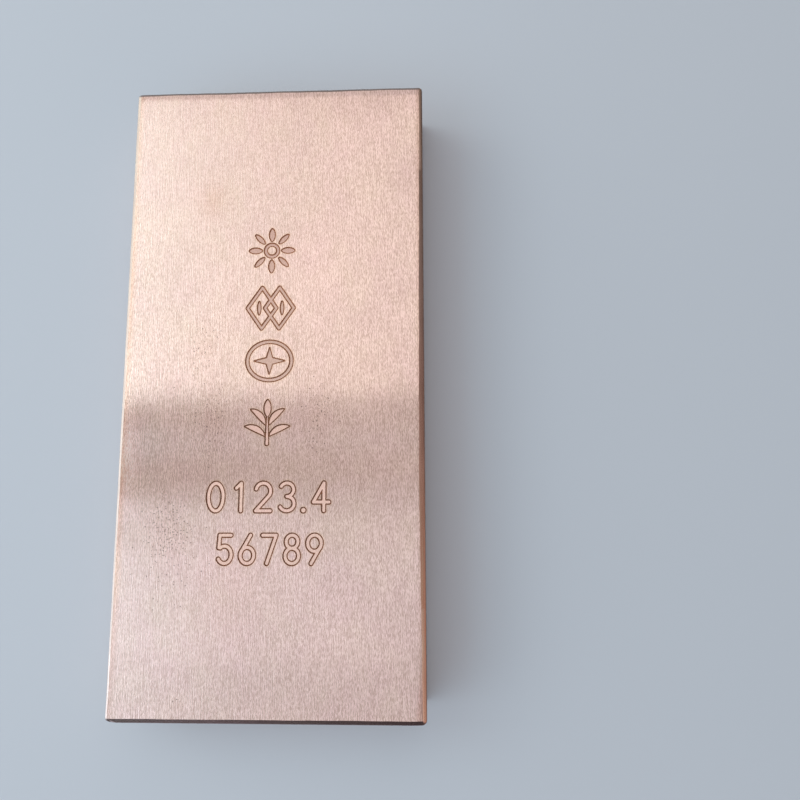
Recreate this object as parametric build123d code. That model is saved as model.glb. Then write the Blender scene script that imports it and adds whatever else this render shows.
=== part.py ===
"""One-kilogram copper ingot: a flat bar of pure copper, cut to length and brushed along its length.

It is one piece of metal. It lies on one broad face, with the marked face up. X runs across the bar,
Y along it and Z up; the origin is at the middle of the face that it lies on. Sizes are in millimetres.
"""

import os

from build123d import *

# Overall size
LENGTH = 126.0  # along Y, from end to end
WIDTH = 60.0  # along X, from side to side
THICKNESS = 14.85  # along Z, between the two broad faces

# Edges
CORNER_RADIUS = 1.0  # upright corners, seen from above
EDGE_BEVEL = 0.9  # filed bevel all round each broad face, measured along the face and down the side
RUN_OFF_LENGTH = 2.2  # strip at the far end of the marked face that the brushing wears down
RUN_OFF_DROP = 0.1  # how much lower that strip is at the very end

FAR_END = LENGTH / 2
NEAR_END = -LENGTH / 2
RUN_OFF_START = FAR_END - RUN_OFF_LENGTH


def side_outline():
    """The bar seen from its +X side: a long rectangle whose top line bends down at the far end."""
    with BuildSketch(Plane.YZ) as outline:
        with BuildLine():
            flat = Line((NEAR_END, THICKNESS), (RUN_OFF_START, THICKNESS))
            run_off = TangentArc(flat @ 1, (FAR_END, THICKNESS - RUN_OFF_DROP), tangent=flat % 1)
            Polyline(run_off @ 1, (FAR_END, 0), (NEAR_END, 0), flat @ 0)
        make_face()
    return outline.sketch


def rim_edges(bar):
    """The edges round both broad faces, without the smooth seam where the run-off begins."""
    around = bar.edges() - bar.edges().filter_by(Axis.Z)
    seam = around.filter_by(Axis.X).filter_by_position(Axis.Y, RUN_OFF_START, RUN_OFF_START)
    return around - seam


def ingot():
    """The whole bar: its side outline drawn out to the width, its corners rounded, its rims bevelled."""
    with BuildPart() as bar:
        extrude(side_outline(), amount=WIDTH / 2, both=True)
        fillet(bar.edges().filter_by(Axis.Z), CORNER_RADIUS)
        chamfer(rim_edges(bar), EDGE_BEVEL)
    return bar.part


os.makedirs("parts", exist_ok=True)
export_step(ingot(), "parts/ingot.step")
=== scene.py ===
"""A one-kilogram copper ingot: a brushed bar with filed rims and shallow engraved marks, on a pale floor.

Lengths named here are in millimetres, in the frame's own axes: X across the bar, Y along it, Z up.
"""

import math

import bpy
import numpy as np
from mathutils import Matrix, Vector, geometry


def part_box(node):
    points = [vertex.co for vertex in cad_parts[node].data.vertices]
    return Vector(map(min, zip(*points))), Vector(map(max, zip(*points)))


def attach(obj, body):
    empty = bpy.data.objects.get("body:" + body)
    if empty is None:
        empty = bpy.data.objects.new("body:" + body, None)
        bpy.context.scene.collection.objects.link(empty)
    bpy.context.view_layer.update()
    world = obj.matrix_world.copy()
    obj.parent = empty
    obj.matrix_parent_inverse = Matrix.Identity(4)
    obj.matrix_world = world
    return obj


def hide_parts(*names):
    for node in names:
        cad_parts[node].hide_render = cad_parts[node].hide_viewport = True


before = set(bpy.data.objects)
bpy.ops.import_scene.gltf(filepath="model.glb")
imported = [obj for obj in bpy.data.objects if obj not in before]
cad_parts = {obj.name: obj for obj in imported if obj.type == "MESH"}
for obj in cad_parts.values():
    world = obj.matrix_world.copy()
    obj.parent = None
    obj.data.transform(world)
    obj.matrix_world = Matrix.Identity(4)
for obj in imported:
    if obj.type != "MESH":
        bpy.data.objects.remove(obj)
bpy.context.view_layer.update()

MM = 0.001
HALF_WIDTH, HALF_LENGTH, THICKNESS = (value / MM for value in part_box("ingot")[1])

# Camera, from the photograph's perspective
CAMERA_PLACE = (30.29, -20.75, 144.78)
CAMERA_TURN = (7.855, 2.255, -0.181)  # degrees
FOCAL_PIXELS = 674.2
FRAME_PIXELS = 800
SENSOR = 36.0
NEAREST_SEEN = 10

# Edges
CORNERS = (  # near right, far right, far left, near left: side along x and y, rounding along x and y
    (1, -1, 1.0, 1.0),
    (1, 1, 0.8, 0.8),
    (-1, 1, 0.5, 0.5),
    (-1, -1, 2.0, 0.9),
)
INNER_ROUNDING = 0.1
CORNER_SPAN = 1.25  # least distance from a corner to the first stop along a side
BEVEL_SLOPES = (0.62, 0.72, 0.66, 0.55)  # right, far, left and near: fall for each millimetre out
BASE_SLOPES = (0.65,) * 4
WIDEST_BEVEL = 1.1
RIM_ROUNDING = 0.18  # soft edge between the bevel and the side
HOLD_RING = 0.04  # ring just inside the rim that keeps its shading off the flat face
ROUNDING_SHARES = (0.0, 0.33, 0.67, 1.0)  # places of the rings round the soft edge
ARC_STEPS = 8  # round each corner
RIM_SPACING = 1.0  # of the points along a side, about
SMOOTH_LIMIT = 24  # degrees; sharper turns between faces stay crisp

# Wear of the marked face
RUN_OFF_LENGTH = 2.2  # at the far end
RUN_OFF_DROP = 0.1
SIDE_ROLL_LENGTH = 1.5  # along both sides
SIDE_ROLL_DROP = 0.05
SIDE_ROLL_INSET = 0.6  # from the side to where it has fallen this far
FACET_START = -42.0  # place along the bar where the facet at the right side begins
FACET_LENGTH = 20.0
FACET_INSET = 0.9  # of its inner edge from the side, where it begins
FACET_REACH = 2.3  # further in at the near end
FACET_SLOPE = 0.075  # fall for each millimetre out
FACET_SOFTNESS = 0.35
WAVES = (  # size, turn in radians for each millimetre along x and y, phase
    (0.0035, 0.11, 0.05, 0.4),
    (0.004, -0.04, 0.085, 2.1),
    (0.002, 0.17, -0.14, 4.0),
)
RIPPLES = (  # of the rims: size, turn in radians for each millimetre, share of the seed
    (0.035, 0.31, 1.0),
    (0.025, 0.83, 2.3),
    (0.012, 2.1, 5.1),
)

# Points that fill a face, closer together where it curves: x range, y range, spacing and seed
FILLING = (
    ((-HALF_WIDTH, HALF_WIDTH), (-HALF_LENGTH, HALF_LENGTH), 1.6, 1),
    ((HALF_WIDTH - 5, HALF_WIDTH), (-HALF_LENGTH, -HALF_LENGTH + 24), 0.55, 2),
    ((-HALF_WIDTH, -HALF_WIDTH + 2.6), (-HALF_LENGTH, HALF_LENGTH), 0.5, 4),
    ((HALF_WIDTH - 2.6, HALF_WIDTH), (-HALF_LENGTH + 24, HALF_LENGTH), 0.5, 5),
    ((-HALF_WIDTH, HALF_WIDTH), (HALF_LENGTH - RUN_OFF_LENGTH - 0.5, HALF_LENGTH), 0.45, 3),
)
SCATTER = 0.2  # of a spacing, that a point may stand out of line
EDGE_MARGIN = 0.3  # kept free of filling inside a face's edge
MARK_MARGIN = 0.2  # and outside a mark's outermost line

# Engraving: a groove round each mark, and a floor inside it that stands a little higher
CUT_LEVELS = (  # distance out from the mark's outline, and depth there
    (0.4, 0.0),
    (0.0, 0.0),
    (-0.06, -0.17),
    (-0.18, -0.18),
    (-0.25, -0.12),
)
CUT_GRID = 0.08  # spacing of the grid that the levels are found on
CUT_MARGIN = 1.2  # of that grid round a mark's strokes
CROSSING_RANGE = (0.1, 0.9)  # share of a grid step; keeps a level's points apart
STROKE = 0.52  # half the width of a numeral's stroke
NUMERAL_HEIGHT = 5.28  # between the middles of its top and bottom strokes
NUMERAL_WIDTH = 2.85
NARROW_NUMERAL = 2.6
ROUND_BOWL = 1.5  # half the height of a numeral's round bowl


# Strokes: each is a row of points (x, y, half width)

def line(*points, width=STROKE, end_width=None):
    """A straight-sided stroke through the points, tapering evenly from width to end_width."""
    widths = np.linspace(width, width if end_width is None else end_width, len(points))
    return np.column_stack([np.array(points, float), widths])


def arc(centre, radii, start, end, width=STROKE, end_width=None, steps=28):
    """A stroke along part of an ellipse, between two angles in degrees."""
    angles = np.radians(np.linspace(start, end, steps + 1))
    widths = np.linspace(width, width if end_width is None else end_width, steps + 1)
    return np.column_stack([
        centre[0] + radii[0] * np.cos(angles),
        centre[1] + radii[1] * np.sin(angles),
        widths,
    ])


def leaf(start, end, bend=0.0, width=0.6, tip=0.12, steps=20):
    """A stroke that swells from tip to width and back, bowed sideways by bend."""
    share = np.linspace(0, 1, steps + 1)[:, None]
    start, end = np.array(start, float), np.array(end, float)
    across = np.array([start[1] - end[1], end[0] - start[0]])
    across /= np.hypot(*across)
    points = start + share * (end - start) + 4 * bend * share * (1 - share) * across
    widths = tip + (width - tip) * np.sin(math.pi * share) ** 0.8
    return np.hstack([points, widths])


def turned(strokes, degrees):
    """The strokes turned about the mark's middle."""
    c, s = math.cos(math.radians(degrees)), math.sin(math.radians(degrees))
    turn = np.array([[c, s], [-s, c]])
    return [np.hstack([stroke[:, :2] @ turn, stroke[:, 2:]]) for stroke in strokes]


# Ornaments in the column of four

def rosette():
    """A ring with four long petals and four short ones between them."""
    strokes = [arc((0, 0), (1.25, 1.25), 0, 360, width=0.46)]
    for quarter in range(4):
        strokes += turned([leaf((0, 2.1), (0, 4.5), width=0.74, tip=0.3)], 90 * quarter)
        strokes += turned([leaf((0, 2.2), (0, 4.6), width=0.62, tip=0.3)], 90 * quarter + 45)
    return strokes


def lozenges():
    """Two lozenges that overlap, each with a short upright leaf in it."""
    strokes = []
    for side in (-1, 1):
        middle = 1.75 * side
        points = [(middle - 2.9, 0), (middle, 4.2), (middle + 2.9, 0), (middle, -4.2), (middle - 2.9, 0)]
        strokes.append(line(*points, width=0.46))
        strokes.append(leaf((2.3 * side, -1.3), (2.3 * side, 1.3), width=0.5, tip=0.25))
    return strokes


def ringed_star():
    """A four-pointed star in a ring."""
    strokes = [arc((0, 0), (4.4, 3.85), 0, 360, width=0.48, steps=64)]
    for quarter in range(4):
        reach = 3.0 if quarter % 2 else 2.6
        strokes += turned([line((0, 0), (0, reach), width=0.95, end_width=0.2)], 90 * quarter)
    return strokes


def sprig():
    """Five leaves on a stem."""
    strokes = [line((0, -4.3), (0, 1.0), width=0.5, end_width=0.3), leaf((0, 0.9), (0, 4.4), width=0.85)]
    for side in (-1, 1):
        strokes.append(leaf((0.35 * side, -0.7), (3.4 * side, 2.5), bend=0.5 * side, width=0.75))
        strokes.append(leaf((0.35 * side, -2.9), (4.5 * side, -0.9), bend=0.55 * side, width=0.75))
    return strokes


# Placeholder numerals

def numeral(digit, width=NUMERAL_WIDTH):
    """The strokes of one digit, in a plain round-ended hand."""
    top, side = NUMERAL_HEIGHT / 2, width / 2
    if digit == 0:
        return [arc((0, 0), (side, top), 0, 360, steps=48)]
    if digit == 1:
        return [line((-0.7, 1.7), (0.25, top), (0.25, -top))]
    if digit == 2:
        hook = arc((0, top - ROUND_BOWL), (side, ROUND_BOWL), 165, -35)
        return [np.vstack([hook, line((-side, -top), (side, -top))])]
    if digit == 3:
        upper = arc((-0.05, top - 1.28), (side * 0.9, 1.28), 150, -90)
        lower = arc((-0.05, -top + 1.36), (side, 1.36), 90, -152)
        return [upper, lower]
    if digit == 4:
        return [line((0.55, -top), (0.55, top), (-side - 0.05, -1.0), (side + 0.1, -1.0))]
    if digit == 5:
        hook = line((side - 0.15, top), (-side + 0.3, top), (-side + 0.15, 0.3))
        return [hook, arc((-0.05, -top + 1.62), (side + 0.02, 1.62), 128, -150)]
    if digit == 6:
        bowl = arc((0, -top + ROUND_BOWL), (side, ROUND_BOWL), 0, 360, steps=40)
        return [bowl, line((-side * 0.93, -0.6), (0.62, top))]
    if digit == 7:
        return [line((-side, top), (side, top), (-0.45, -top))]
    if digit == 8:
        upper = arc((0, top - 1.22), (side * 0.86, 1.22), 0, 360, steps=36)
        return [upper, arc((0, -top + 1.42), (side, 1.42), 0, 360, steps=40)]
    return turned(numeral(6, width), 180)


def moved(strokes, x, y):
    """The strokes with their middle at (x, y) on the marked face."""
    return [stroke + np.array([x, y, 0]) for stroke in strokes]


COLUMN = (  # ornament, and its place
    (rosette, -0.6, 27.95),
    (lozenges, -0.6, 16.0),
    (ringed_star, -0.6, 5.25),
    (sprig, -0.75, -6.85),
)
UPPER_ROW = ((0, -10.42), (1, -5.75), (2, -1.2), (3, 3.44), (4, 10.0))  # digit, and its place across
UPPER_ROW_PLACE = -21.4
LOWER_ROW = ((5, -8.36), (6, -4.05), (7, 0.2), (8, 4.56), (9, 8.87))
LOWER_ROW_PLACE = -31.28
POINT_PLACE = (6.62, UPPER_ROW_PLACE - NUMERAL_HEIGHT / 2 + 0.1)
POINT_REACH = 0.66


def marks():
    """Every mark on the face, each as its list of strokes."""
    placed = [moved(ornament(), x, y) for ornament, x, y in COLUMN]
    placed += [moved(numeral(digit), x, UPPER_ROW_PLACE) for digit, x in UPPER_ROW]
    placed += [moved(numeral(digit, NARROW_NUMERAL), x, LOWER_ROW_PLACE) for digit, x in LOWER_ROW]
    placed.append(moved([line((0, 0), (0.01, 0), width=POINT_REACH)], *POINT_PLACE))
    return placed


TINY = 1e-12  # keeps a stroke's step of no length from dividing by nothing


def distance(strokes, x, y):
    """How far each point lies outside the nearest stroke's outline; less than nothing inside it."""
    nearest = np.full(np.shape(x), np.inf)
    for stroke in strokes:
        for (ax, ay, aw), (bx, by, bw) in zip(stroke[:-1], stroke[1:]):
            run_x, run_y = bx - ax, by - ay
            square = run_x**2 + run_y**2 + TINY
            share = np.clip(((x - ax) * run_x + (y - ay) * run_y) / square, 0, 1)
            gap = np.hypot(x - ax - share * run_x, y - ay - share * run_y) - (aw + share * (bw - aw))
            nearest = np.minimum(nearest, gap)
    return nearest


def level_line(field, xs, ys, level):
    """The line where the field crosses a level: its points, and the pairs of them that are joined."""
    value = field - level
    inside = value < 0
    step = xs[1] - xs[0]

    def crossing(first, second):
        """How far on from the first grid point the line passes."""
        return np.clip(first / (first - second), *CROSSING_RANGE) * step

    across = inside[:, :-1] != inside[:, 1:]
    upward = inside[:-1] != inside[1:]
    row, column = np.nonzero(across)
    past = crossing(value[row, column], value[row, column + 1])
    on_rows = np.column_stack([xs[column] + past, ys[row]])
    across_index = np.full(across.shape, -1)
    across_index[across] = np.arange(len(on_rows))
    row, column = np.nonzero(upward)
    past = crossing(value[row, column], value[row + 1, column])
    on_columns = np.column_stack([xs[column], ys[row] + past])
    upward_index = np.full(upward.shape, -1)
    upward_index[upward] = len(on_rows) + np.arange(len(on_columns))

    sides = (across_index[:-1], upward_index[:, :-1], across_index[1:], upward_index[:, 1:])
    ends = np.stack(sides, axis=-1).reshape(-1, 4)
    count = (ends >= 0).sum(axis=1)
    plain = ends[count == 2]
    pairs = plain[plain >= 0].reshape(-1, 2)
    saddles = ends[count == 4]
    pairs = np.vstack([pairs, saddles[:, :2], saddles[:, 2:]])
    return np.vstack([on_rows, on_columns]), pairs


# Shape of the marked face

def undulation(x, y):
    """The slow waves that brushing leaves in a flat face, never above it."""
    total = -sum(size for size, *_ in WAVES)
    for size, along_x, along_y, phase in WAVES:
        total = total + size * np.cos(along_x * x + along_y * y + phase)
    return total


def facet_edge(y):
    """Where the facet beside the near right corner begins, as a place across the bar."""
    return HALF_WIDTH - FACET_INSET - FACET_REACH * np.clip((FACET_START - y) / FACET_LENGTH, 0, 1)


def corner_wear(x, y):
    """Fall of the facet that filing left beside the near right corner."""
    over = np.maximum(x - facet_edge(y), 0)
    return -FACET_SLOPE * over**2 / (over + FACET_SOFTNESS)


def side_roll(x):
    """The gentle fall of the face towards its long edges."""
    start = HALF_WIDTH - SIDE_ROLL_INSET - SIDE_ROLL_LENGTH
    past = np.clip((np.abs(x) - start) / SIDE_ROLL_LENGTH, 0, None)
    return -SIDE_ROLL_DROP * past**2


def marked_height(x, y):
    """Height of the marked face."""
    past = np.maximum(y - (HALF_LENGTH - RUN_OFF_LENGTH), 0)
    run_off = -RUN_OFF_DROP * (past / RUN_OFF_LENGTH) ** 2
    return THICKNESS + run_off + side_roll(x) + undulation(x, y) + corner_wear(x, y)


def base_height(x, y):
    """Height of the face that the bar lies on."""
    return -undulation(-x, y)


# Rims

def ripple(place, seed):
    """The unevenness of filing by hand, along one edge."""
    return sum(size * np.sin(place * turn + share * seed) for size, turn, share in RIPPLES)


def right_bevel(y):
    """Width of the bevel along the right side: narrow at the far end, widest a third of the way up."""
    places = (-63, -58, -20, 18, 54, 63)
    widths = (0.7, 0.76, 1.16, 0.96, 0.68, 0.66)
    return np.interp(y, places, widths) + 0.6 * ripple(y, 1.0)


def left_bevel(y):
    """Width of the bevel along the left side: it tapers off towards the near end."""
    return np.interp(y, (-63, -56, 0, 63), (0.33, 0.48, 0.68, 0.84)) + 0.5 * ripple(y, 2.2)


def near_bevel(x):
    """Width of the bevel along the near end: a little less at the left corner."""
    return np.interp(x, (-30, -26, 30), (0.82, 0.9, 0.93)) + 0.5 * ripple(x, 3.1)


def far_bevel(x):
    """Width of the bevel along the far end."""
    return 0.68 + ripple(x, 4.7)


def base_bevel(place):
    """Width of the bevel round the base, the same on every side."""
    return 0.9 + ripple(place, 5.9)


def rounded_outline(right, far, left, near, rounding=None):
    """A closed outline, counter-clockwise from the near right corner.

    right, far, left and near give how far in each side stands, as a function of the place along it.
    rounding, where it is given, is the same at all corners.
    """
    inset_x = {1: right, -1: left}
    inset_y = {1: far, -1: near}
    spans = [(max(round_x, CORNER_SPAN), max(round_y, CORNER_SPAN)) for _, _, round_x, round_y in CORNERS]
    outline = []
    for k, (side_x, side_y, round_x, round_y) in enumerate(CORNERS):
        if rounding is not None:
            round_x = round_y = rounding
        start_x = side_x * (HALF_WIDTH - spans[k][0])
        start_y = side_y * (HALF_LENGTH - spans[k][1])
        middle_x = side_x * (HALF_WIDTH - inset_x[side_x](start_y) - round_x)
        middle_y = side_y * (HALF_LENGTH - inset_y[side_y](start_x) - round_y)
        angles = np.radians(90 * k - 90 + np.linspace(0, 90, ARC_STEPS + 1))
        corner_x = middle_x + round_x * np.cos(angles)
        corner_y = middle_y + round_y * np.sin(angles)
        outline.append(np.column_stack([corner_x, corner_y]))
        next_x, next_y = spans[(k + 1) % len(spans)]
        if k % 2 == 0:
            end_y = -side_y * (HALF_LENGTH - next_y)
            stops = np.linspace(start_y, end_y, round(2 * HALF_LENGTH / RIM_SPACING))
            outline.append(np.column_stack([side_x * (HALF_WIDTH - inset_x[side_x](stops)), stops]))
        else:
            end_x = -side_x * (HALF_WIDTH - next_x)
            stops = np.linspace(start_x, end_x, round(2 * HALF_WIDTH / RIM_SPACING))
            outline.append(np.column_stack([stops, side_y * (HALF_LENGTH - inset_y[side_y](stops))]))
    return np.vstack(outline)


def no_bevel(place):
    """Width of nothing, for the outline of the bar's sides."""
    return 0 * place


def by_side(outline, right, far, left, near):
    """A value for each point of an outline from one for each side, blended round the corners."""
    heading = np.roll(outline, -1, axis=0) - np.roll(outline, 1, axis=0)
    heading /= np.linalg.norm(heading, axis=1)[:, None]
    out_x, out_y = heading[:, 1:], -heading[:, :1]
    total = 0
    for facing, value in ((out_x, right), (out_y, far), (-out_x, left), (-out_y, near)):
        total = total + np.maximum(facing, 0) ** 2 * value
    return total


def rim_rings(inner, outer, face_height, slopes, side):
    """The rings from a face's edge out over its bevel and round onto the side, as (x, y, z) points.

    side is 1 for the marked face and -1 for the base.
    """
    edge = np.column_stack([inner, face_height(inner[:, 0], inner[:, 1])])
    width = np.minimum(np.linalg.norm(outer - inner, axis=1), WIDEST_BEVEL)
    drop = width * by_side(outer, *slopes)[:, 0]
    if side > 0:
        drop = drop - by_side(outer, 0, 0, 0, 1)[:, 0] * corner_wear(inner[:, 0], inner[:, 1])
    knee = np.column_stack([outer, THICKNESS - drop if side > 0 else drop])
    slope = edge - knee
    slope /= np.linalg.norm(slope, axis=1)[:, None]
    start = knee + slope * RIM_ROUNDING
    end = knee - np.array([0, 0, side * RIM_ROUNDING])
    rings = [edge]
    for share in ROUNDING_SHARES:
        rings.append((1 - share) ** 2 * start + 2 * share * (1 - share) * knee + share**2 * end)
    return rings


# Tints, which multiply a material's own colour: of the marked face's rims, painted reflection and painted
# shade; of the base's rims; of the marks; and of places on the face, some worn and some painted highlight
# and painted shade

# The marked face's rims are painted reflection and painted shade: dark brown painted shade at the far
# end, darker towards the right along the near end, light at the left, and a warm sienna painted
# reflection at the right
FAR_RIM_PAINTED_SHADE = (0.30, 0.21, 0.17)
LEFT_RIM_PAINTED_REFLECTIONS = (  # place along the left side, tint there
    (-63, (0.78, 0.69, 0.67)),
    (-48, (0.88, 0.79, 0.76)),
    (-20, (0.93, 0.82, 0.76)),
    (20, (0.96, 0.80, 0.69)),
    (63, (0.96, 0.78, 0.64)),
)
NEAR_RIM_PAINTED_SHADES = (  # place along the near end, tint there
    (-26, (0.52, 0.38, 0.35)),
    (-9, (0.54, 0.36, 0.35)),
    (6, (0.39, 0.27, 0.25)),
    (22, (0.30, 0.19, 0.175)),
    (30, (0.28, 0.175, 0.165)),
)
RIGHT_RIM_PAINTED_REFLECTIONS = (  # place along the right side, tint there
    (-59, (0.92, 0.47, 0.33)),
    (-37, (0.98, 0.58, 0.44)),
    (-2, (0.79, 0.45, 0.36)),
    (25, (0.70, 0.46, 0.39)),
    (52, (0.57, 0.37, 0.29)),
)
BASE_RIM_TINT = (0.62, 0.40, 0.31)
GROOVE_TINTS = (  # place along the face, tint of the marks' walls there
    (-32, (1.45, 1.3, 1.25)),
    (-21, (1.3, 1.15, 1.15)),
    (-7, (1.2, 1.08, 1.02)),
    (5, (1.9, 1.75, 1.65)),
    (28, (2.0, 1.85, 1.75)),
)
FLOOR_TINTS = (  # place along the face, tint of the marks' floors there
    (-32, (1.03, 1.05, 1.11)),
    (-21, (1.05, 1.05, 1.10)),
    (-7, (0.97, 0.94, 0.98)),
    (5, (0.87, 0.855, 0.88)),
    (28, (0.85, 0.80, 0.83)),
)
# Shades of a rim's rings, times its tint, from the face's edge out to the side: painted shade, darkest on
# the outer rings at the ends and at the right
END_RING_SHADES = (1.15, 1.15, 0.75, 0.45, 0.4)
RIGHT_RING_SHADES = (1.15, 1.04, 0.45, 0.2, 0.15)
LEFT_RING_SHADES = (0.86, 1.0, 1.04, 1.0, 0.9)
PLAIN = np.array([1.0, 1.0, 1.0, 0.0])  # no tint and no pitting

# Patches of the marked face: the pitted ones are wear; the unpitted ones, lighter or darker, are painted
# highlights and painted shade
WORN_AND_PAINTED_LIGHT_PLACES = (  # middle, reach along x and y, tint, and how thickly pitted it is, from 0 to 1
    ((-19.6, -27.9), (3.2, 4.6), (0.99, 0.97, 0.96), 0.9),
    ((-18.6, -33.0), (4.4, 7.0), (1.0, 0.98, 0.98), 0.18),
    ((-11.4, -6.8), (2.4, 6.0), (0.97, 0.94, 0.93), 0.35),
    ((9.4, -6.8), (2.2, 5.6), (0.98, 0.96, 0.96), 0.3),
    ((-13.6, 8.0), (2.2, 4.0), (0.99, 0.97, 0.96), 0.3),
    ((-19.2, 0.3), (0.8, 1.0), (0.95, 0.92, 0.90), 0.5),
    ((-16.3, -59.3), (0.8, 1.0), (0.96, 0.93, 0.90), 0.5),
    ((-13.0, 39.0), (2.6, 3.6), (0.94, 0.89, 0.85), 0.0),
    ((-26.0, -5.8), (2.4, 2.2), (0.93, 0.92, 0.92), 0.0),
    ((20.0, 61.0), (14.0, 4.0), (0.94, 0.93, 0.93), 0.0),
    ((26.0, 43.0), (5.0, 8.0), (0.94, 0.93, 0.94), 0.0),
    ((-24.3, -12.0), (3.0, 8.0), (0.96, 0.98, 1.0), 0.0),
    ((-7.0, -37.8), (7.0, 9.0), (1.01, 0.965, 0.965), 0.0),
    ((-29.3, -12.0), (2.9, 10.0), (1.30, 1.27, 1.29), 0.0),
    ((8.0, 24.0), (6.0, 10.0), (1.07, 1.06, 1.06), 0.0),
    ((25.3, -45.0), (4.5, 6.0), (0.94, 0.94, 0.935), 0.0),
    ((-11.0, -42.0), (7.0, 6.0), (0.965, 0.965, 0.96), 0.0),
    ((27.0, -1.0), (3.2, 11.0), (0.93, 0.93, 0.935), 0.0),
    ((-27.0, -18.5), (7.5, 5.0), (1.08, 1.07, 1.08), 0.0),
)
# Painted reflection and painted shade near the marked face's edges: a golden tan band at the left, a
# duller band at the right, and a duller facet where the face tilts towards the darker right
LEFT_EDGE_PAINTED_REFLECTIONS = (  # place along the left edge of the marked face, tint there
    (-58, (0.80, 0.74, 0.72)),
    (-46, (0.88, 0.80, 0.76)),
    (-36, (0.925, 0.82, 0.735)),
    (0, (0.94, 0.86, 0.79)),
    (22, (0.93, 0.81, 0.715)),
    (45, (0.94, 0.88, 0.81)),
)
RIGHT_EDGE_PAINTED_SHADE = (0.80, 0.75, 0.71)
FACET_PAINTED_SHADE = (0.92, 0.85, 0.82)
# Where these tints of painted reflection and painted shade come in: how far before a line, and over what
# length
LEFT_EDGE_FADE = (2.0, 1.2)  # before the side
RIGHT_EDGE_FADE = (1.6, 0.8)
FACET_FADE = (-1.0, 0.5)  # before the facet's inner edge, so past it
FACET_FADE_ALONG = (-44, 8)  # before the bar's middle, towards the near end
HEAT_TINT = (1.02, 0.99, 0.91)  # on and just beside the marks
# Painted light: the brushing's grain weakened in patches where the face's highlight is brightest, as if
# washed out by it
WASHED_OUT_GRAIN_PLACES = (  # middle, reach along x and y, and how much weaker the brushing's grain is
    ((-20, 48), (24, 34), 0.38),
    ((-24, -42), (18, 22), 0.26),
)


def patch(x, y, middle, reach):
    """A soft round patch, one in the middle and nothing well past its reach."""
    return np.exp(-(((x - middle[0]) / reach[0]) ** 2) - ((y - middle[1]) / reach[1]) ** 2)


def grain_strength(x, y):
    """How strong the brushing's grain is, about one; painted light weakens it in patches, as if the
    brightest highlight washed it out.
    """
    total = 1
    for middle, reach, weakness in WASHED_OUT_GRAIN_PLACES:
        total = total - weakness * patch(x, y, middle, reach)
    return total


def multiply_tint(tint, share, color):
    """Multiplies tints in place by a colour, in full where the share is one and less where it is less."""
    tint[:, :3] *= 1 - share[:, None] * (1 - np.array(color))


def ramp(past, lead, length):
    """A share that rises from nothing to one over a length, from this lead before a line on."""
    return np.clip((past + lead) / length, 0, 1)


def by_place(place, rows):
    """Colours read from rows of place and colour."""
    places, colors = zip(*rows)
    return np.column_stack([np.interp(place, places, channel) for channel in zip(*colors)])


def face_tint(x, y):
    """Tint and pitting at points of the marked face: wear, heat tint near the marks, and painted
    highlights, painted shade and painted reflection in patches, along the edges and on the facet.
    """
    tint = np.tile(PLAIN, (len(x), 1))
    # wear, and patches of painted highlight and painted shade
    for middle, reach, color, pitting in WORN_AND_PAINTED_LIGHT_PLACES:
        weight = patch(x, y, middle, reach)
        multiply_tint(tint, weight, color)
        tint[:, 3] = np.maximum(tint[:, 3], weight * pitting)
    # painted reflection along the left edge, painted shade along the right edge and on the facet
    left_edge = ramp(-x - HALF_WIDTH, *LEFT_EDGE_FADE)
    right_edge = ramp(x - HALF_WIDTH, *RIGHT_EDGE_FADE)
    facet = ramp(x - facet_edge(y), *FACET_FADE) * ramp(-y, *FACET_FADE_ALONG)
    multiply_tint(tint, left_edge, by_place(y, LEFT_EDGE_PAINTED_REFLECTIONS))
    multiply_tint(tint, right_edge, RIGHT_EDGE_PAINTED_SHADE)
    multiply_tint(tint, facet, FACET_PAINTED_SHADE)
    for strokes in marks():
        near = np.clip(1 - distance(strokes, x, y) / CUT_LEVELS[0][0], 0, 1)
        multiply_tint(tint, near, HEAT_TINT)
    return tint


def rim_painted_reflection(outline, ring):
    """Tint of one ring of the marked face's rim: painted reflection and painted shade, blended by side.
    """
    right = by_place(outline[:, 1], RIGHT_RIM_PAINTED_REFLECTIONS)
    left = by_place(outline[:, 1], LEFT_RIM_PAINTED_REFLECTIONS)
    near = by_place(outline[:, 0], NEAR_RIM_PAINTED_SHADES)
    far = np.array(FAR_RIM_PAINTED_SHADE)
    shade = END_RING_SHADES[ring]
    right = RIGHT_RING_SHADES[ring] * right
    left = LEFT_RING_SHADES[ring] * left
    tint = by_side(outline, right, shade * far, left, shade * near)
    return np.column_stack([tint, np.zeros(len(tint))])


# Faces

BRUSHED, GROOVE, FLOOR, FILED = range(4)


def scattered(x_range, y_range, spacing, seed):
    """Points about a spacing apart over a rectangle, slightly out of line."""
    grid_x, grid_y = np.meshgrid(np.arange(*x_range, spacing), np.arange(*y_range, spacing))
    shift = np.random.default_rng(seed).uniform(-SCATTER, SCATTER, (2, *grid_x.shape)) * spacing
    return np.column_stack([(grid_x + shift[0]).ravel(), (grid_y + shift[1]).ravel()])


def inside_rim(points, edge):
    """The points that lie well inside a face's edge."""
    low, high = edge.min(axis=0), edge.max(axis=0)
    clear = (points > low + EDGE_MARGIN) & (points < high - EDGE_MARGIN)
    return points[clear.all(axis=1)]


def face_filling(edge, marked):
    """The loose points of a face, inside its edge and clear of its marks."""
    points = inside_rim(np.vstack([scattered(*row) for row in FILLING]), edge)
    for strokes in marked:
        points = points[distance(strokes, points[:, 0], points[:, 1]) > CUT_LEVELS[0][0] + MARK_MARGIN]
    return points


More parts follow.
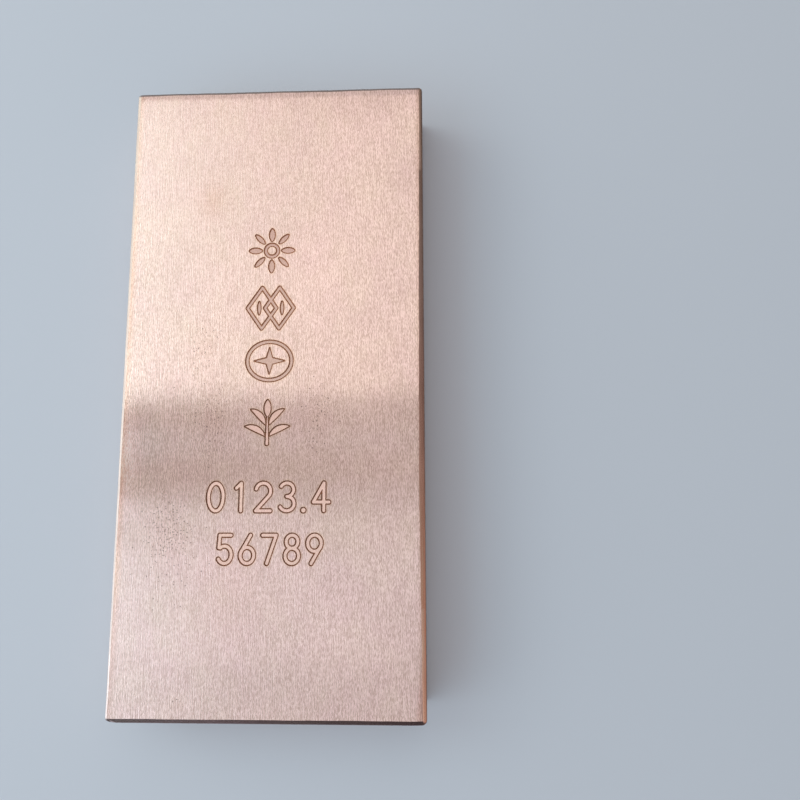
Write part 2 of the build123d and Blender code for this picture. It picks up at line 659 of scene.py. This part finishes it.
def cut_lines(strokes):
    """A mark's lines, outermost first: for each its points, the pairs that are joined, and its depth."""
    reach = np.vstack(strokes)[:, :2]
    low = reach.min(axis=0) - CUT_MARGIN
    high = reach.max(axis=0) + CUT_MARGIN
    xs = np.arange(low[0], high[0], CUT_GRID)
    ys = np.arange(low[1], high[1], CUT_GRID)
    field = distance(strokes, *np.meshgrid(xs, ys))
    return [(*level_line(field, xs, ys, level), drop) for level, drop in CUT_LEVELS]


INSIDE_RINGS = 1  # the kind of output that leaves out what lies outside the rings
SAME_POINT = 1e-6


def triangulated(flat, joined, ring):
    """Triangles over flat points that keep the joined pairs as edges and stay inside the ring.

    Gives the points, the triangles and, for each point, the number it had in flat, or -1 for a new one.
    The ring's points come first and in order.
    """
    rings = [ring.tolist()]
    found = geometry.delaunay_2d_cdt(flat.tolist(), joined.tolist(), rings, INSIDE_RINGS, SAME_POINT)
    points, triangles, sources = np.array(found[0]), np.array(found[2]), found[3]
    first = np.array([source[0] if source else -1 for source in sources])
    in_ring = (first >= 0) & (first < len(ring))
    order = np.argsort(np.where(in_ring, first, len(flat)), kind="stable")
    place = np.empty(len(order), int)
    place[order] = np.arange(len(order))
    return points[order], place[triangles], first[order]


def sheet(edge, height, engraved):
    """A face filled in inside its edge: its points, its triangles, and each triangle's material.

    The edge's own points come first and in order.
    """
    hold = edge - np.sign(edge - edge.mean(axis=0)) * HOLD_RING
    ring = np.arange(len(edge))
    closed = np.column_stack([ring, np.roll(ring, -1)])
    flat = [edge, hold]
    depth = [np.zeros(len(edge)), np.zeros(len(hold))]
    joined = [closed, closed + len(edge)]
    marked = marks() if engraved else []
    for strokes in marked:
        for points, pairs, drop in cut_lines(strokes):
            joined.append(pairs + sum(len(part) for part in flat))
            flat.append(points)
            depth.append(np.full(len(points), drop))
    flat.append(face_filling(edge, marked))
    depth.append(np.zeros(len(flat[-1])))
    points, triangles, first = triangulated(np.vstack(flat), np.vstack(joined), ring)
    heights = height(points[:, 0], points[:, 1]) + np.where(first >= 0, np.concatenate(depth)[first], 0)
    centre = points[triangles].mean(axis=1)
    kind = np.full(len(triangles), BRUSHED)
    for strokes in marked:
        gap = distance(strokes, centre[:, 0], centre[:, 1])
        kind[gap < 0] = GROOVE
        kind[gap < CUT_LEVELS[-1][0]] = FLOOR
    return np.column_stack([points, heights]), triangles, kind


# The bar's mesh
# It has two maps: brush, in millimetres, with the brushing along the second way, and OFBake, unfolded.

BAKE_GAP = 2.0  # between the parts of the unfolded map
BAKE_SIDE = 18.0  # of that map for each side wall and its rims
BAKE_SPAN = 2 * (2 * HALF_WIDTH) + 2 * BAKE_SIDE + 5 * BAKE_GAP


def add_face(parts, corners, material, brush, bake, tint):
    """Adds a face: its points and material, and each corner's place in both maps and its tint."""
    parts["faces"].append(corners)
    parts["materials"].append(material)
    parts["brush"].append(brush)
    parts["bake"].append(bake)
    parts["tint"].append(tint)


def add_marked_face(parts, top, triangles, kinds):
    """Adds the marked face, its marks among it."""
    tint = face_tint(top[:, 0], top[:, 1])
    cut_tints = {GROOVE: by_place(top[:, 1], GROOVE_TINTS), FLOOR: by_place(top[:, 1], FLOOR_TINTS)}
    for triangle, kind in zip(triangles.tolist(), kinds.tolist()):
        places = [(top[v][0], top[v][1]) for v in triangle]
        bake = [(x + HALF_WIDTH + BAKE_GAP, y + HALF_LENGTH + BAKE_GAP) for x, y in places]
        colors = tint[triangle]
        if kind in cut_tints:
            colors[:, :3] *= cut_tints[kind][triangle]
        add_face(parts, triangle, kind, places, bake, colors)


def add_base(parts, base, triangles, first):
    """Adds the face that the bar lies on, whose points are numbered from first on."""
    for triangle in triangles[:, ::-1].tolist():
        places = [(base[v][0], base[v][1]) for v in triangle]
        bake = [(3 * HALF_WIDTH + 2 * BAKE_GAP + x, y + HALF_LENGTH + BAKE_GAP) for x, y in places]
        add_face(parts, [v + first for v in triangle], BRUSHED, places, bake, [PLAIN] * 3)


def add_sides(parts, points, outer, rows):
    """Adds the rims and the side wall, between rows of points round the bar, from top to base."""
    around = len(outer)
    courses = list(zip(rows[:-1], rows[1:]))
    steps = [np.linalg.norm(points[below] - points[above], axis=1) for above, below in courses]
    fall = np.vstack([np.zeros(around), np.cumsum(steps, axis=0)])
    heading = np.roll(outer, -1, axis=0) - outer
    long_side = np.abs(heading[:, 1]) >= np.abs(heading[:, 0])
    side_wall = len(rows) // 2 - 1  # the course between the two rims
    # the marked face's rims carry painted reflection and painted shade; the base's rims a plain deeper
    # copper
    tints = [rim_painted_reflection(outer, ring) for ring in range(side_wall + 1)]
    tints += [np.tile([*BASE_RIM_TINT, 0], (around, 1))] * (side_wall + 1)
    for k, (above, below) in enumerate(courses):
        for i in range(around):
            j = (i + 1) % around
            axis = 1 if long_side[i] else 0
            brush = ((fall[k, i], outer[i, axis]), (fall[k + 1, i], outer[i, axis]),
                     (fall[k + 1, j], outer[j, axis]), (fall[k, j], outer[j, axis]))
            if long_side[i]:
                left = 4 * HALF_WIDTH + 3 * BAKE_GAP + (0 if outer[i, 0] > 0 else BAKE_SIDE + BAKE_GAP)
                bake = [(left + run, along + HALF_LENGTH + BAKE_GAP) for run, along in brush]
            else:
                left = HALF_WIDTH + BAKE_GAP + (0 if outer[i, 1] > 0 else 2 * HALF_WIDTH + BAKE_GAP)
                bake = [(left + along, 2 * HALF_LENGTH + 2 * BAKE_GAP + run) for run, along in brush]
            colors = [tints[k][i], tints[k + 1][i], tints[k + 1][j], tints[k][j]]
            material = FILED
            if k == side_wall:
                colors = [PLAIN] * 4
                material = BRUSHED
            add_face(parts, [above[i], below[i], below[j], above[j]], material, brush, bake, colors)


def ingot_parts():
    """The bar's points, and its faces with their materials, maps and tints."""
    inner = rounded_outline(right_bevel, far_bevel, left_bevel, near_bevel, INNER_ROUNDING)
    outer = rounded_outline(no_bevel, no_bevel, no_bevel, no_bevel)
    base_inner = rounded_outline(base_bevel, base_bevel, base_bevel, base_bevel, INNER_ROUNDING)
    top, top_triangles, kinds = sheet(inner, marked_height, True)
    base, base_triangles, _ = sheet(base_inner, base_height, False)
    middle_rings = rim_rings(inner, outer, marked_height, BEVEL_SLOPES, 1)[1:]
    middle_rings += rim_rings(base_inner, outer, base_height, BASE_SLOPES, -1)[:0:-1]
    points = np.vstack([top, base, *middle_rings])
    around = np.arange(len(outer))
    middle_rows = [len(top) + len(base) + len(outer) * k + around for k in range(len(middle_rings))]
    rows = [around, *middle_rows, len(top) + around]
    parts = {"faces": [], "materials": [], "brush": [], "bake": [], "tint": []}
    add_marked_face(parts, top, top_triangles, kinds)
    add_base(parts, base, base_triangles, len(top))
    add_sides(parts, points, outer, rows)
    return points, parts


def add_map(mesh, name, corners, scale):
    """Adds a UV map with these places, corner by corner."""
    flat = np.array([place for face in corners for place in face], dtype=np.float32) * scale
    mesh.uv_layers.new(name=name).data.foreach_set("uv", flat.ravel())


def ingot_body():
    """The bar, as one closed mesh."""
    points, parts = ingot_parts()
    mesh = bpy.data.meshes.new("ingot_body")
    mesh.from_pydata((points * MM).tolist(), [], parts["faces"])
    mesh.polygons.foreach_set("material_index", parts["materials"])
    add_map(mesh, "brush", parts["brush"], 1.0)
    add_map(mesh, "OFBake", parts["bake"], 1 / BAKE_SPAN)
    tint = np.vstack(parts["tint"]).astype(np.float32)
    layer = mesh.color_attributes.new(name="tint", type="FLOAT_COLOR", domain="CORNER")
    layer.data.foreach_set("color", tint.ravel())
    layer = mesh.attributes.new(name="grain_strength", type="FLOAT", domain="POINT")
    layer.data.foreach_set("value", grain_strength(points[:, 0], points[:, 1]).astype(np.float32))
    for make in (brushed_copper, groove_copper, floor_copper, filed_copper):
        mesh.materials.append(make())
    mesh.shade_smooth()
    mesh.set_sharp_from_angle(angle=math.radians(SMOOTH_LIMIT))
    body = bpy.data.objects.new("ingot_body", mesh)
    bpy.context.scene.collection.objects.link(body)
    return body


# Materials

COPPER_PINK = (0.86, 0.610, 0.545, 1)
COPPER_TAN = (0.86, 0.640, 0.535, 1)
COPPER_DEEP = (0.66, 0.40, 0.30, 1)
COPPER_BURNT = (0.15, 0.07, 0.038, 1)
GRAIN_DARK = (0.79, 0.77, 0.745, 1)  # times the copper's own colour
GRAIN_LIGHT = (1.21, 1.23, 1.255, 1)
NOISE_TURN = 0.55  # radians; keeps the noise's own squares out of line with the bar
PIT_SIZES = ((0.75, 0.1), (0.55, 0.09))  # least spacing and size of each kind of pit
PIT_DARKNESS = 0.62  # share of the light that a pit takes
HAIRLINE_DEPTH = 0.015
FINE_LINE_DEPTH = 0.01


def node(tree, kind, inputs=None, **settings):
    """Adds a node; an input given as a socket is linked, and any other is set."""
    made = tree.nodes.new(kind)
    for name, value in settings.items():
        setattr(made, name, value)
    for name, value in (inputs or {}).items():
        if isinstance(value, bpy.types.NodeSocket):
            tree.links.new(value, made.inputs[name])
        else:
            made.inputs[name].default_value = value
    return made


def new_material(name, metallic=1.0, roughness=0.4, anisotropic=0.0, color=COPPER_TAN):
    """A material with these plain values: itself, its tree and its shader."""
    material = bpy.data.materials.new(name)
    material.use_nodes = True
    tree = material.node_tree
    shader = tree.nodes["Principled BSDF"]
    shader.inputs["Base Color"].default_value = color
    shader.inputs["Metallic"].default_value = metallic
    shader.inputs["Roughness"].default_value = roughness
    shader.inputs["Anisotropic"].default_value = anisotropic
    return material, tree, shader


def grain(tree, across, along, seed=0.0, detail=2.0, roughness=0.6, distortion=0.0):
    """Noise with this many waves to a millimetre across the brushing and along it, from 0 to 1."""
    place = node(tree, "ShaderNodeUVMap", uv_map="brush").outputs["UV"]
    scaled = node(tree, "ShaderNodeMapping", {"Vector": place, "Scale": (across, along, 1),
                                              "Rotation": (0, 0, NOISE_TURN),
                                              "Location": (seed, 3.7 * seed, 0)}).outputs[0]
    noise = node(tree, "ShaderNodeTexNoise", {"Vector": scaled, "Scale": 1.0, "Detail": detail,
                                              "Roughness": roughness, "Distortion": distortion},
                 noise_dimensions="2D")
    return noise.outputs["Fac"]


def arithmetic(tree, operation, first, second, third=1.0):
    """What the operation makes of its values, each a socket or a number."""
    return node(tree, "ShaderNodeMath", {0: first, 1: second, 2: third}, operation=operation).outputs[0]


def spread(tree, value, low, high, to_low=0.0, to_high=1.0):
    """The value taken from one range to another, and held inside it."""
    return node(tree, "ShaderNodeMapRange", {"Value": value, "From Min": low, "From Max": high,
                                             "To Min": to_low, "To Max": to_high}).outputs[0]


MIX_INPUTS = ("Factor", 6, 7)  # a mix node's share and its two colours
MIX_OUTPUT = 2


def mixed(tree, share, first, second):
    """A blend of two colours, all first at 0 and all second at 1."""
    inputs = dict(zip(MIX_INPUTS, (share, first, second)))
    return node(tree, "ShaderNodeMix", inputs, data_type="RGBA").outputs[MIX_OUTPUT]


def along_brushing(tree, shader):
    """Turns the shader's gloss to the brushing's direction."""
    tangent = node(tree, "ShaderNodeTangent", direction_type="UV_MAP", uv_map="brush")
    tree.links.new(tangent.outputs[0], shader.inputs["Tangent"])


def add_bump(tree, shader, height, strength, depth):
    """Gives the shader fine relief, this deep."""
    bump = node(tree, "ShaderNodeBump", {"Height": height, "Strength": strength, "Distance": depth * MM})
    tree.links.new(bump.outputs[0], shader.inputs["Normal"])


def blended(tree, *parts):
    """The sum of some values' distances from a half, each with its own share, about a half."""
    total = 0.5 - 0.5 * sum(share for _, share in parts)
    for value, share in parts:
        total = arithmetic(tree, "MULTIPLY_ADD", value, share, total)
    return total


def multiplied(tree, color, factor):
    """The colour times a number or another colour."""
    kind = "ShaderNodeVectorMath"
    if factor.type == "VALUE":
        return node(tree, kind, {0: color, "Scale": factor}, operation="SCALE").outputs[0]
    return node(tree, kind, {0: color, 1: factor}, operation="MULTIPLY").outputs[0]


def place_tint(tree):
    """The mesh's own tint."""
    return node(tree, "ShaderNodeAttribute", attribute_name="tint").outputs["Color"]


def tinted_copper(tree, tone, seed):
    """Copper, now pinker and now more tan, times a tone about one and the place's own tint."""
    cloud = grain(tree, 0.11, 0.08, seed=seed, detail=4.0, roughness=0.75)
    hue = mixed(tree, spread(tree, cloud, 0.25, 0.75), COPPER_TAN, COPPER_PINK)
    return multiplied(tree, multiplied(tree, hue, place_tint(tree)), tone)


def pits(tree):
    """Small pits, from 0 to 1, closer together the higher the tint's fourth number is."""
    share = node(tree, "ShaderNodeAttribute", attribute_name="tint").outputs["Alpha"]
    place = node(tree, "ShaderNodeUVMap", uv_map="brush").outputs["UV"]
    total = 0.0
    for spacing, reach in PIT_SIZES:
        cell = node(tree, "ShaderNodeTexVoronoi", {"Vector": place, "Scale": 1 / spacing},
                    voronoi_dimensions="2D")
        chance = node(tree, "ShaderNodeSeparateXYZ", {0: cell.outputs["Color"]}).outputs["X"]
        there = arithmetic(tree, "LESS_THAN", chance, share)
        spot = spread(tree, cell.outputs["Distance"], reach, 2 * reach, 1.0, 0.0)
        total = arithmetic(tree, "MULTIPLY_ADD", spot, there, total)
    return total


def brushed_copper():
    """The brushed faces and sides: short flecks and longer hairlines over a cloudy tone."""
    material, tree, shader = new_material("brushed_copper", roughness=0.19, anisotropic=1.0)
    along_brushing(tree, shader)
    fleck = grain(tree, 9.4, 1.75, seed=1.0, detail=0.0, distortion=0.3)
    second_fleck = grain(tree, 7.8, 1.0, seed=11.0, detail=0.0, distortion=0.3)
    hairline = grain(tree, 6.4, 0.2, seed=2.0, detail=0.0, distortion=0.2)
    broad = grain(tree, 1.7, 0.3, seed=3.0, distortion=0.3)
    cloud = grain(tree, 0.05, 0.035, seed=4.0)
    # grain weakened in patches as painted light, where the face's highlight is brightest
    strength = node(tree, "ShaderNodeAttribute", attribute_name="grain_strength").outputs["Fac"]
    tone = blended(tree, (fleck, 1.9), (second_fleck, 1.75), (hairline, 1.4), (broad, 0.25))
    tone = arithmetic(tree, "MULTIPLY_ADD", spread(tree, tone, 0.0, 1.0, -0.5, 0.5), strength, 0.5)
    tone = mixed(tree, tone, GRAIN_DARK, GRAIN_LIGHT)
    unpitted = arithmetic(tree, "MULTIPLY_ADD", pits(tree), -PIT_DARKNESS)
    plain = arithmetic(tree, "MULTIPLY", spread(tree, cloud, 0.2, 0.8, 0.89, 0.96), unpitted)
    color = multiplied(tree, tinted_copper(tree, plain, 5.0), tone)
    tree.links.new(color, shader.inputs["Base Color"])
    add_bump(tree, shader, hairline, 1.0, HAIRLINE_DEPTH)
    return material


def filed_copper():
    """The rims: a smoother gloss, with fine lines along the edge."""
    material, tree, shader = new_material("filed_copper", roughness=0.25, anisotropic=0.6)
    along_brushing(tree, shader)
    lines = grain(tree, 6.0, 0.12, seed=6.0, distortion=0.2)
    # the place's tint brings in the rims' painted reflection and painted shade
    color = multiplied(tree, place_tint(tree), spread(tree, lines, 0.2, 0.8, 0.8, 1.2))
    tree.links.new(color, shader.inputs["Base Color"])
    add_bump(tree, shader, lines, 0.5, FINE_LINE_DEPTH)
    return material


def groove_copper():
    """The walls of the marks: dull and dark from the cutter's heat."""
    material, tree, shader = new_material("groove_copper", roughness=0.6)
    speckle = grain(tree, 6.0, 6.0, seed=8.0)
    color = mixed(tree, spread(tree, speckle, 0.3, 0.7, 0.0, 0.3), COPPER_BURNT, COPPER_DEEP)
    tree.links.new(multiplied(tree, color, place_tint(tree)), shader.inputs["Base Color"])
    return material


def floor_copper():
    """The floors of the marks: matt, with a faint grain."""
    material, tree, shader = new_material("floor_copper", roughness=0.6)
    speckle = grain(tree, 7.0, 1.6, seed=9.0, detail=1.0, distortion=0.3)
    color = tinted_copper(tree, spread(tree, speckle, 0.3, 0.7, 0.9, 1.1), 7.0)
    tree.links.new(color, shader.inputs["Base Color"])
    add_bump(tree, shader, speckle, 0.5, FINE_LINE_DEPTH)
    return material


# Stage, lamps and camera

FLOOR_COLOR = (0.60, 0.64, 0.69, 1)
WORLD_COLOR = (0.35, 0.35, 0.35, 1)
DARK_WALL = (0.07, 0.07, 0.075, 1)  # towards the near end, low down
WARM_WALL = (0.42, 0.25, 0.18, 1)  # at the right, low down, at the near end
BROWN_WALL = (0.10, 0.085, 0.075, 1)  # and at the far end
BACKDROP_COLOR = (0.62, 0.66, 0.72, 1)
FLOOR_SPAN = 6000


def stage_floor():
    """The plain floor that the bar lies on."""
    mesh = bpy.data.meshes.new("stage_floor")
    half = FLOOR_SPAN / 2 * MM
    corners = [(-half, -half, 0), (half, -half, 0), (half, half, 0), (-half, half, 0)]
    mesh.from_pydata(corners, [], [(0, 1, 2, 3)])
    material, _, _ = new_material("stage_floor", metallic=0.0, roughness=0.9, color=FLOOR_COLOR)
    mesh.materials.append(material)
    floor = bpy.data.objects.new("stage_floor", mesh)
    bpy.context.scene.collection.objects.link(floor)


SOFTBOX_HEIGHT = 615
SOFTBOXES = (  # level, overhead: name, corner and opposite corner (x, y), radiance, colour
    ("far_softbox", (-300, 88), (350, 470), 0.67, (1.0, 0.97, 0.97)),
    ("far_left_softbox", (-1200, 88), (-300, 500), 1.5, (0.72, 0.93, 1.0)),
    ("back_softbox", (-1200, 470), (350, 1200), 0.5, (0.88, 0.86, 0.90)),
    ("gap_strip_1", (-300, 50), (350, 88), 0.34, (1.0, 0.90, 0.95)),
    ("gap_strip_2", (-300, 27), (350, 50), 0.40, (0.92, 0.90, 1.0)),
    ("gap_strip_3", (-300, -8), (350, 27), 0.32, (1.0, 0.93, 0.97)),
    ("gap_strip_4", (-300, -34), (350, -8), 0.39, (0.90, 0.90, 1.0)),
    ("near_ramp", (-300, -84), (350, -34), 0.52, (0.87, 0.91, 1.0)),
    ("near_softbox", (-300, -200), (350, -84), 0.56, (0.83, 0.86, 1.0)),
    ("front_softbox", (-300, -1100), (350, -200), 0.43, (0.83, 0.86, 1.0)),
    ("gap_left_strip", (-1200, 18), (-300, 56), 0.4, (0.55, 0.80, 1.0)),
    ("near_left_ramp", (-1200, -84), (-300, -28), 1.0, (0.60, 0.83, 1.0)),
    ("near_left_softbox", (-1200, -200), (-300, -84), 1.4, (0.60, 0.83, 1.0)),
    ("front_left_softbox", (-1200, -1100), (-300, -200), 1.25, (0.60, 0.83, 1.0)),
)
SIDE_SIZE = (700, 1200)  # of the upright softbox at the left
SIDE_PLACE = (-750, 100, 360)
SIDE_RADIANCE = 0.97
SIDE_COLOR = (1.0, 0.98, 0.95)


def area_lamp(name, size_x, size_y, radiance, color):
    """A flat lamp that the camera doesn't see, at the origin and facing down."""
    lamp = bpy.data.lights.new(name, "AREA")
    lamp.shape = "RECTANGLE"
    lamp.size, lamp.size_y = size_x * MM, size_y * MM
    lamp.energy = radiance * math.pi * lamp.size * lamp.size_y
    lamp.color = color
    holder = bpy.data.objects.new(name, lamp)
    holder.visible_camera = False
    bpy.context.scene.collection.objects.link(holder)
    return holder


def studio_world():
    """An even dim surround, darker low down at the near end and at the right.

    The walls fade in and out by the direction looked in, as shares along each axis.
    """
    world = bpy.data.worlds.new("studio")
    world.use_nodes = True
    tree = world.node_tree
    way = node(tree, "ShaderNodeTexCoord").outputs["Generated"]
    parts = node(tree, "ShaderNodeSeparateXYZ", {0: way}).outputs
    low = spread(tree, parts["Z"], 0.35, 0.6, 1.0, 0.0)
    dark = arithmetic(tree, "MULTIPLY", low, spread(tree, parts["Y"], -0.6, -0.35, 1.0, 0.0))
    dark = arithmetic(tree, "MULTIPLY", dark, spread(tree, parts["X"], 0.3, 0.5, 1.0, 0.0))
    dark = arithmetic(tree, "MULTIPLY", dark, spread(tree, parts["X"], -0.65, -0.5))
    right = arithmetic(tree, "MULTIPLY", low, spread(tree, parts["X"], 0.35, 0.7))
    right_wall = mixed(tree, spread(tree, parts["Y"], -0.3, 0.1), WARM_WALL, BROWN_WALL)
    color = mixed(tree, dark, mixed(tree, right, WORLD_COLOR, right_wall), DARK_WALL)
    seen = node(tree, "ShaderNodeLightPath").outputs["Is Camera Ray"]
    tree.links.new(mixed(tree, seen, color, BACKDROP_COLOR), tree.nodes["Background"].inputs["Color"])
    bpy.context.scene.world = world


def light_the_stage():
    """Softboxes overhead with a dim gap between them, and one at the left."""
    for name, low, high, radiance, color in SOFTBOXES:
        lamp = area_lamp(name, high[0] - low[0], high[1] - low[1], radiance, color)
        middle = ((low[0] + high[0]) / 2, (low[1] + high[1]) / 2, SOFTBOX_HEIGHT)
        lamp.location = [value * MM for value in middle]
    side = area_lamp("side_softbox", *SIDE_SIZE, SIDE_RADIANCE, SIDE_COLOR)
    side.location = [value * MM for value in SIDE_PLACE]
    side.rotation_euler = (0, math.radians(-90), 0)
    studio_world()


def place_camera():
    """The photograph's own viewpoint."""
    lens = bpy.data.cameras.new("camera")
    lens.sensor_width = SENSOR
    lens.lens = FOCAL_PIXELS / FRAME_PIXELS * SENSOR
    lens.clip_start = NEAREST_SEEN * MM
    camera = bpy.data.objects.new("camera", lens)
    camera.location = [value * MM for value in CAMERA_PLACE]
    camera.rotation_euler = [math.radians(value) for value in CAMERA_TURN]
    bpy.context.scene.collection.objects.link(camera)
    bpy.context.scene.camera = camera


place_camera()
stage_floor()
light_the_stage()
body = ingot_body()
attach(body, "root")
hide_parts("ingot")
bpy.context.scene.view_settings.view_transform = "Standard"
